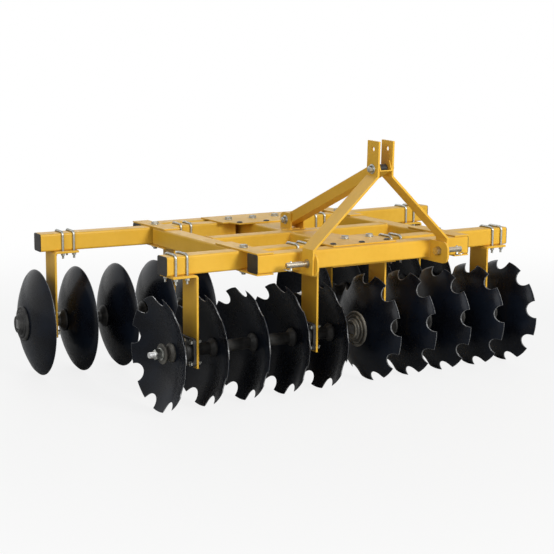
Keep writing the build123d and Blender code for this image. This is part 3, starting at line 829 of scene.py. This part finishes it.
# Spools, bells and hubs
castPlan = {
    "bore": 20.8,
    "barrel": 25.0,
    "journal": 22.5,
    "relief": 7.0,
    "land": 2.0,
    "hollowFlange": 38.0,
    "bulgeFlange": 48.0,
    "flange": 8.0,
    "flare": 14.0,
    "shoulderRise": 1.5,
    "shoulderRun": 1.9,
    "housing": 34.0,
    "ease": 2.2,
    "bellEase": 1.3,
    "steps": 56,
    "bellSteps": 64,
    "bell": (  # distance from the blade, radius
        (0.0, 50.0),
        (-2.8, 75.0),
        (3.5, 76.0),
        (7.5, 73.0),
        (8.5, 66.0),
        (6.8, 64.0),
        (6.8, 61.0),
        (12.5, 58.5),
        (14.0, 51.5),
        (12.6, 50.0),
        (12.6, 47.0),
        (19.5, 44.5),
        (23.0, 38.5),
        (28.0, 36.0),
    ),
    "bellFace": 28.0,
    "recess": 22.0,
    "recessDepth": 12.0,
    "hub": ((0.0, 38.0), (8.0, 38.0), (16.0, 28.0), (30.0, 28.0), (38.0, 41.0), (46.0, 41.0)),
    "hubLength": 46.0,
}


def spoolProfile(plan, gang, number):
    last = number + 1
    if gang["bulge"] > 0:
        start, end = bladeSeat(gang, number), hollowSeat(gang, last)
        first, second = plan["bulgeFlange"], plan["hollowFlange"]
    else:
        start, end = hollowSeat(gang, number), bladeSeat(gang, last)
        first, second = plan["hollowFlange"], plan["bulgeFlange"]
    shoulder = plan["flange"] + plan["flare"]
    outline = [(start, plan["bore"]), (start, first), (start + plan["flange"], first)]
    neck = start + shoulder
    outline.append((neck, plan["barrel"] + plan["shoulderRise"]))
    outline.append((neck + plan["shoulderRun"], plan["barrel"]))
    for leg in legsOf(gang):
        if start < leg < end:
            begin = max(leg - standardThick / 2 - plan["relief"], start + shoulder + plan["land"])
            finish = leg + standardThick / 2 + plan["housing"] + plan["relief"]
            outline += [(begin, plan["barrel"]), (begin, plan["journal"])]
            outline += [(finish, plan["journal"]), (finish, plan["barrel"])]
    outline += [(end - shoulder, plan["barrel"]), (end - plan["flange"], second)]
    outline += [(end, second), (end, plan["bore"])]
    return eased(outline, plan["ease"]) + [outline[0]]


def makeCastings(plan):
    seat = plan["bellFace"] - plan["recessDepth"]
    for name, gang in gangPlan.items():
        spools = Shape()
        for number in range(bladePlan["count"] - 1):
            spools.add(turned(spoolProfile(plan, gang, number), plan["steps"]), gangFrame(gang))
        spools.dress(name + "_spools", name + "_gang", [blackCasting])
        bellBlade, nutBlade = endBlades(gang)
        ends = Shape()
        bell = eased([(0.0, plan["bore"])] + list(plan["bell"]), plan["bellEase"])
        bell += [(plan["bellFace"], plan["recess"], "square"), (seat, plan["recess"], "square")]
        bell += [(seat, plan["bore"]), (0.0, plan["bore"])]
        bellFrame = gangFrame(gang, bladeSeat(gang, bellBlade), flip=gang["bulge"])
        ends.add(turned(bell, plan["bellSteps"]), bellFrame)
        hub = [(0.0, plan["bore"])] + list(plan["hub"]) + [(plan["hubLength"], plan["bore"])]
        hub = eased(hub, plan["ease"]) + [(0.0, plan["bore"])]
        hubFrame = gangFrame(gang, hollowSeat(gang, nutBlade), flip=-gang["bulge"])
        ends.add(turned(hub, plan["steps"]), hubFrame)
        casting = greyCasting if name.startswith("front") else blackCasting
        ends.dress(name + "_end_castings", name + "_gang", [casting])


makeCastings(castPlan)
print("castings done")


# Axles
axlePlan = {
    "square": 14.3,
    "head": 20.0,
    "headDepth": 10.0,
    "headSink": 2.0,
    "headEase": 1.5,
    "steps": 64,
    "washer": 25.0,
    "washerThick": 5.0,
    "nutFlats": 38.0,
    "nutHeight": 24.0,
    "thread": 12.5,
    "threadLength": 26.0,
    "threadPitch": 3.2,
    "threadOverlap": 2.0,
}


def makeAxles(plan):
    for name, gang in gangPlan.items():
        bulge = gang["bulge"]
        bellBlade, nutBlade = endBlades(gang)
        headFace = bladeSeat(gang, bellBlade) + bulge * (castPlan["bellFace"] - plan["headSink"])
        hubFace = hollowSeat(gang, nutBlade) - bulge * castPlan["hubLength"]
        length = abs(headFace - hubFace)
        square, head, ease = plan["square"], plan["head"], plan["headEase"]
        neck = length - plan["headDepth"]
        bar = [(0, 0), (0, square, "square"), (neck, square, "square"), (neck, head, "square")]
        bar += [(length - ease, head, "square"), (length, head - ease, "square"), (length, 0)]
        axle = Shape()
        axle.add(turned(bar, plan["steps"]), gangFrame(gang, hubFace, flip=bulge))
        towardNut = gangFrame(gang, hubFace, flip=-bulge)
        axle.add(disc(plan["washer"], plan["washerThick"], 0.8, 2, 48), towardNut, 1)
        axle.add(hexagon(plan["nutFlats"], plan["nutHeight"]), towardNut @ onward(plan["washerThick"]), 1)
        nutEnd = plan["washerThick"] + plan["nutHeight"]
        overlap = plan["threadOverlap"]
        thread = threaded(plan["thread"], plan["threadLength"] + overlap, plan["threadPitch"], 28)
        axle.add(thread, towardNut @ onward(nutEnd - overlap), 2)
        axle.dress(name + "_axle", name + "_gang", [headSteel, zincPlate, brightSteel])


makeAxles(axlePlan)
print("axles done")


# Bearings on the standards
bearingPlan = {
    "flangeHalf": 57.0,
    "flangeCorner": 15.0,
    "flangeThick": 13.0,
    "flangeEase": 2.0,
    "housing": (  # distance from the standard, radius
        (1.0, 23.6),
        (1.0, 46.0),
        (13.0, 46.0),
        (18.0, 42.0),
        (31.0, 39.5),
        (34.0, 37.5),
        (34.0, 36.5),
        (30.5, 35.5),
        (30.5, 23.6),
    ),
    "housingEase": 1.6,
    "race": (
        (28.0, 35.4),
        (32.5, 35.4),
        (33.2, 34.4),
        (33.2, 30.5),
        (31.8, 30.0),
        (31.8, 28.0),
        (33.6, 27.5),
        (33.6, 23.4),
        (28.0, 23.4),
    ),
    "steps": 56,
    "pad": ((8.0, 0), (8.0, 14.5), (15.0, 13.0), (15.5, 0)),
    "padTop": 15.5,
    "boltAt": 43.0,
    "boltFlats": 19.0,
    "headHeight": 8.0,
    "nutHeight": 10.0,
    "washer": 11.5,
    "washerThick": 2.0,
    "thread": 6.0,
    "threadLength": 16.0,
    "threadPitch": 1.75,
    "nipple": (
        (0, 0),
        (0, 4.5),
        (5, 4.5),
        (5.5, 2.6),
        (8, 2.6),
        (9.5, 3.4),
        (11, 2.6),
        (12.5, 1.4),
        (12.5, 0),
    ),
    "nippleSpot": (22.0, 0, 38.0),
}


def roundedSquare(half, corner, count=5):
    inset = half - corner
    points = []
    for quarter in range(4):
        middle = math.pi / 4 + quarter * math.pi / 2
        centre = Vector((math.copysign(inset, math.cos(middle)), math.copysign(inset, math.sin(middle))))
        for step in range(count + 1):
            angle = quarter * math.pi / 2 + math.pi / 2 * step / count
            points.append(centre + Vector((math.cos(angle), math.sin(angle))) * corner)
    return points


def slab(outline, low, high, ease):  # a flat plate across X with eased rims
    points, shrunk = [], []
    count = len(outline)
    for number, point in enumerate(outline):
        run = (outline[(number + 1) % count] - outline[number - 1]).normalized()
        shrunk.append(point - Vector((run.y, -run.x)) * ease)
    rings = ((low, shrunk), (low + ease, outline), (high - ease, outline), (high, shrunk))
    for reach, ring in rings:
        points += [(reach, point.x, point.y) for point in ring]
    return points, stitched(len(rings), count)


def bearingBolt(housings, fixings, place, plan):
    housings.add(turned(eased(plan["pad"], 1.0, 2), 24), place)
    fixings.add(hexagon(plan["boltFlats"], plan["headHeight"]), place @ onward(plan["padTop"]))
    back = place @ onward(-standardThick) @ Matrix.Rotation(math.pi, 4, "Z")
    fixings.add(disc(plan["washer"], plan["washerThick"], 0.5, 1, 24), back)
    fixings.add(hexagon(plan["boltFlats"], plan["nutHeight"]), back @ onward(plan["washerThick"]))
    fixings.add(threaded(plan["thread"], plan["threadLength"], plan["threadPitch"], 12), back)


def bearing(housings, fixings, seat, plan):
    outline = roundedSquare(plan["flangeHalf"], plan["flangeCorner"])
    housings.add(slab(outline, 0, plan["flangeThick"], plan["flangeEase"]), seat)
    housing = eased(plan["housing"], plan["housingEase"]) + [plan["housing"][0]]
    housings.add(turned(housing, plan["steps"]), seat)
    fixings.add(turned(plan["race"] + plan["race"][:1], plan["steps"]), seat, 1)
    for across in (-plan["boltAt"], plan["boltAt"]):
        for over in (-plan["boltAt"], plan["boltAt"]):
            bearingBolt(housings, fixings, seat @ Matrix.Translation((0, across, over)), plan)
    nipple = seat @ Matrix.Translation(plan["nippleSpot"]) @ Matrix.Rotation(-math.pi / 2, 4, "Y")
    fixings.add(turned(plan["nipple"], 16), nipple, 2)


def makeBearings(plan):
    metals = [zincPlate, brightSteel, yellowZinc]
    for axleName in ("front", "rear"):
        housings, fixings = Shape(), Shape()
        for name in (axleName + "_left", axleName + "_right"):
            gang = gangPlan[name]
            for leg in legsOf(gang):
                bearing(housings, fixings, gangFrame(gang, leg + standardThick / 2), plan)
        housings.dress(axleName + "_bearing_housings", "frame", [blackCasting])
        fixings.piece(axleName + "_bearing_fixings", "frame", slotOf("front_u_bolts"), metals)


makeBearings(bearingPlan)
print("bearings done")


# U-bolts, bolts and pins
fixingPlan = {
    "rod": 5.0,
    "rodFit": 0.4,
    "bend": 14.0,
    "legs": (38.0, 88.0),
    "nutFlats": 16.0,
    "nutHeight": 8.0,
    "washer": 10.5,
    "washerThick": 2.0,
    "tail": 14.0,
    "threadPitch": 1.6,
    "rodStart": 4.0,
    "threadStart": 6.0,
    "frameBolt": 9.5,
    "frameHead": 28.6,
    "frameTail": 8.0,
    "frameHeight": 12.0,
    "frameWasher": 18.0,
    "frameWasherThick": 2.5,
    "framePitch": 2.5,
    "pivotX": 491.9,
    "innerBolt": 125.0,
}


def uBoltSolids(shape, gang, u, plan):
    across = halfTube + plan["rod"] + plan["rodFit"]
    top = tubeTop + plan["rod"]
    nutLevel = tubeBottom - standardThick
    bottom = nutLevel - plan["washerThick"] - plan["nutHeight"] - plan["tail"]
    frameAt = gangFrame(gang, u, 0)
    path = [(0, -across, nutLevel + plan["rodStart"])]
    for side, start in ((-1, math.pi), (1, math.pi / 2)):
        centre = (0, side * (across - plan["bend"]), top - plan["bend"])
        path += list(arcPoints(centre, (0, 1, 0), (0, 0, 1), plan["bend"], start, start - math.pi / 2, 8))
    path.append((0, across, nutLevel + plan["rodStart"]))
    shape.add(swept(path, plan["rod"], 14), frameAt)
    thread = threaded(plan["rod"], nutLevel + plan["threadStart"] - bottom, plan["threadPitch"], 16)
    for side in (-1, 1):
        seat = frameAt @ Matrix.Translation((0, side * across, nutLevel))
        down = seat @ Matrix.Rotation(math.pi / 2, 4, "Y")
        shape.add(disc(plan["washer"], plan["washerThick"], 0.5, 1, 28), down)
        shape.add(hexagon(plan["nutFlats"], plan["nutHeight"]), down @ onward(plan["washerThick"]))
        shape.add(thread, down @ onward(-plan["threadStart"]))


def makeUBolts(plan):
    for axleName in ("front", "rear"):
        shape = Shape()
        for name in (axleName + "_left", axleName + "_right"):
            gang = gangPlan[name]
            for leg in legsOf(gang):
                for step in plan["legs"]:
                    uBoltSolids(shape, gang, leg + gang["foot"] * step, plan)
        shape.dress(axleName + "_u_bolts", "frame", [zincPlate])


def gangSpot(gang, u):
    spot = gangFrame(gang, u, 0).translation / mm
    return (spot.x, spot.y)


def frameBolt(shape, spot, plan):
    turn = Matrix.Rotation(random.uniform(0, math.pi), 4, "X")
    washer = disc(plan["frameWasher"], plan["frameWasherThick"], 0.7, 2, 36)
    head = hexagon(plan["frameHead"], plan["frameHeight"] - plan["frameWasherThick"])
    below = standing(*spot, plateBottom, -1)
    for place in (standing(*spot, plateTop), below):
        shape.add(washer, place)
        shape.add(head, place @ onward(plan["frameWasherThick"]) @ turn)
    length = plan["frameHeight"] + plan["frameTail"]
    shape.add(threaded(plan["frameBolt"], length, plan["framePitch"], 20), below)


def makeFrameBolts(plan):
    pivots, middles = [], []
    for gang in gangPlan.values():
        pivots.append(gangSpot(gang, plan["pivotX"] / math.cos(math.radians(gang["sweep"]))))
        middles.append(gangSpot(gang, plan["innerBolt"]))
    middles += [(0, gang["middle"]) for gang in (frontGang, rearGang)]
    for node, spots in (("pivot_bolts", pivots), ("adjuster_bolts", middles)):
        shape = Shape()
        for spot in spots:
            frameBolt(shape, spot, plan)
        shape.dress(node, "frame", [zincPlate])


crossPlan = {
    "bolts": {
        "mast_bolt": {"spot": (-595.371, 932.877), "grip": 39.5},
        "brace_foot_bolt": {"spot": (44.0, 655.0), "grip": 38.0},
    },
    "radius": 8.0,
    "washer": 20.0,
    "washerThick": 3.0,
    "collar": 14.0,
    "collarThick": 2.0,
    "flats": 24.0,
    "height": 12.0,
    "tail": 8.0,
    "threadPitch": 2.0,
}


def makeCrossBolts(plan):
    seat = onward(plan["washerThick"] + plan["collarThick"])
    for node, row in plan["bolts"].items():
        shape = Shape()
        for side in (-1, 1):
            face = Matrix.Scale(mm, 4) @ along((side * row["grip"], *row["spot"]), (side, 0, 0))
            shape.add(disc(plan["washer"], plan["washerThick"], 0.8, 2, 40), face)
            shape.add(disc(plan["collar"], plan["collarThick"], 0.5, 2, 40, plan["washerThick"]), face)
            shape.add(hexagon(plan["flats"], plan["height"]), face @ seat)
        # the thread and the shank start from the right face, the last one above
        start, end, radius = -2 * row["grip"], plan["washerThick"], plan["radius"]
        tail = threaded(radius, plan["height"] + plan["tail"], plan["threadPitch"], 18)
        shape.add(tail, face @ seat)
        shape.add(turned([(start, 0), (start, radius), (end, radius), (end, 0)], 24), face)
        shape.dress(node, "frame", [zincPlate])


# painted shade: dark plugs put where the spare holes hold only shade
shadePlugPlan = {
    "spots": ((-135, -469), (0, -479), (135, -469), (-135, 274), (0, 264), (135, 274)),
    "profile": ((-5, 0), (-5, 10.6), (0, 10.6), (0.3, 13.5), (3, 13), (5.5, 9.5), (6.5, 4), (6.7, 0)),
}


def makeShadePlugs(plan):  # black plugs in the spare holes of the adjuster plates, painted shade: they stand in for the shade deep in the holes
    shape = Shape()
    for spot in plan["spots"]:
        shape.add(turned(eased(plan["profile"], 0.8, 2), 32), standing(*spot, plateTop))
    shape.piece("spare_hole_shade_plugs", "frame", slotOf("tube_end_caps"), [blackPlastic])


linchPlan = {
    "pin": (414.0, -586.0, 575.0),
    "below": 26.0,
    "profile": ((0, 0), (0, 3), (2.5, 6.2), (6, 7), (9.5, 6.2), (11.5, 4.6), (37, 4.6), (41, 3.2), (42, 0)),
    "ringRadius": 16.0,
    "wire": 1.8,
    "ringCentre": (428.5, 556.0),
    "ringRun": (0.97, -0.24),  # inwards, up
}


def makeLinchpins(plan):
    x, y, z = plan["pin"]
    ringX, ringZ = plan["ringCentre"]
    inwards, up = plan["ringRun"]
    place = Matrix.Scale(mm, 4)
    for side, name in ((-1, "left"), (1, "right")):
        shape = Shape()
        shaft = along((side * x, y, z - plan["below"]), (0, 0, 1))
        shape.add(turned(eased(plan["profile"], 1.0, 2), 24), place @ shaft)
        run = Vector((-side * inwards, 0, up)).normalized()
        centre = (side * ringX, y, ringZ)
        ring = list(arcPoints(centre, run, (0, 1, 0), plan["ringRadius"], 0, 2 * math.pi, 48))
        shape.add(swept(ring[:-1] + [ring[0]], plan["wire"], 10), place)
        shape.piece(name + "_linchpin", "frame", slotOf("left_lower_hitch_pin"), [zincPlate])


random.seed(11)
makeUBolts(fixingPlan)
makeFrameBolts(fixingPlan)
makeCrossBolts(crossPlan)
makeLinchpins(linchPlan)
makeShadePlugs(shadePlugPlan)
for node in ("left_lower_hitch_pin", "right_lower_hitch_pin"):
    repaint(node, yellowZinc)
print("fixings done")


# Weld beads
weldPlan = {
    "radius": 3.6,
    "step": 1.6,
    "ripple": 6.5,
    "swing": 0.2,
    "sides": 8,
    "endGap": 7.0,
    "crossFaces": (-51.1, 25.1),
    "sideTube": 453.3,
    "sideTop": (-44, 18),
    "centreFaces": (-51.6, 25.6),
    "centreTube": 76.4,
    "centreRun": 68,
    "centreSink": 0.5,
    "lugFront": -524.6,
    "lugSides": (317.8, 329.6),
    "lugUnderSides": (318.0, 329.4),
    "lugEnds": (2.0, 3.0),
    "lugRun": (-520, -452),
    "lugLift": 0.6,
    "ears": ((39.6, 1.0), (28.4, 0.9)),  # distance from the middle, share of the radius
    "earRun": (6, 82),
    "earLift": 0.8,
    "plateEnds": (-196.4, 291.0),
    "plateRun": (458, 526),
    "plateLift": 0.75,
}


def bead(shape, start, end, radius, plan):
    start, end = Vector(start), Vector(end)
    count = max(2, int((end - start).length / plan["step"]))
    points = [start.lerp(end, step / count) for step in range(count)] + [end]
    phase = random.random()
    radii = []
    for number, point in enumerate(points):
        travelled = number * plan["step"] / plan["ripple"] + phase
        wave = abs(math.sin(math.pi * travelled))
        taper = min(1.0, (min(number, len(points) - 1 - number) + 1) / 3)
        radii.append(radius * (0.80 + 0.22 * wave) * (0.55 + 0.45 * taper))
        point += Vector((random.uniform(-1, 1), random.uniform(-1, 1), random.uniform(-1, 1))) * plan["swing"]
    shape.add(swept(points, radii, plan["sides"]), Matrix.Scale(mm, 4))


def sideWelds(side, plan):  # each bead's start, end and share of the radius
    low, high = tubeBottom + plan["endGap"], tubeTop - plan["endGap"]
    x = side * plan["sideTube"]  # the middle cross tube to a side tube
    for y in plan["crossFaces"]:
        yield (x, y, low), (x, y, high), 1
    front, back = plan["sideTop"]
    yield (x, front, tubeTop), (x, back, tubeTop), 1
    x = side * plan["centreTube"]  # the centre tubes to the middle cross tube
    for y in plan["centreFaces"]:
        yield (x, y, low), (x, y, high), 1
    foot, head = tubeBottom + plan["lugEnds"][0], high + plan["lugEnds"][1]
    for away in plan["lugSides"]:  # the lugs to the front cross tube
        yield (side * away, plan["lugFront"], foot), (side * away, plan["lugFront"], head), 1
    front, back = plan["lugRun"]
    under = tubeBottom - plan["lugLift"]
    for away in plan["lugUnderSides"]:
        yield (side * away, front, under), (side * away, back, under), 1
    front, back = plan["earRun"]
    level = tubeTop + plan["earLift"]
    for away, share in plan["ears"]:  # the brace's ears to the middle cross tube
        yield (side * away, front, level), (side * away, back, level), share
    inner, outer = plan["plateRun"]
    for level in (tubeTop + plan["plateLift"], tubeBottom - plan["plateLift"]):  # the corner plates
        for y in plan["plateEnds"]:
            yield (side * inner, y, level), (side * outer, y, level), 1


def makeWelds(plan):
    shape = Shape()
    for side in (-1, 1):
        for start, end, share in sideWelds(side, plan):
            bead(shape, start, end, plan["radius"] * share, plan)
    run = plan["centreRun"]
    for y in plan["centreFaces"]:
        for level in (tubeTop - plan["centreSink"], tubeBottom + plan["centreSink"]):
            bead(shape, (-run, y, level), (run, y, level), plan["radius"], plan)
    shape.piece("weld_beads", "frame", slotOf("hitch_lugs"), [weldPaint])


makeWelds(weldPlan)
print("welds done")
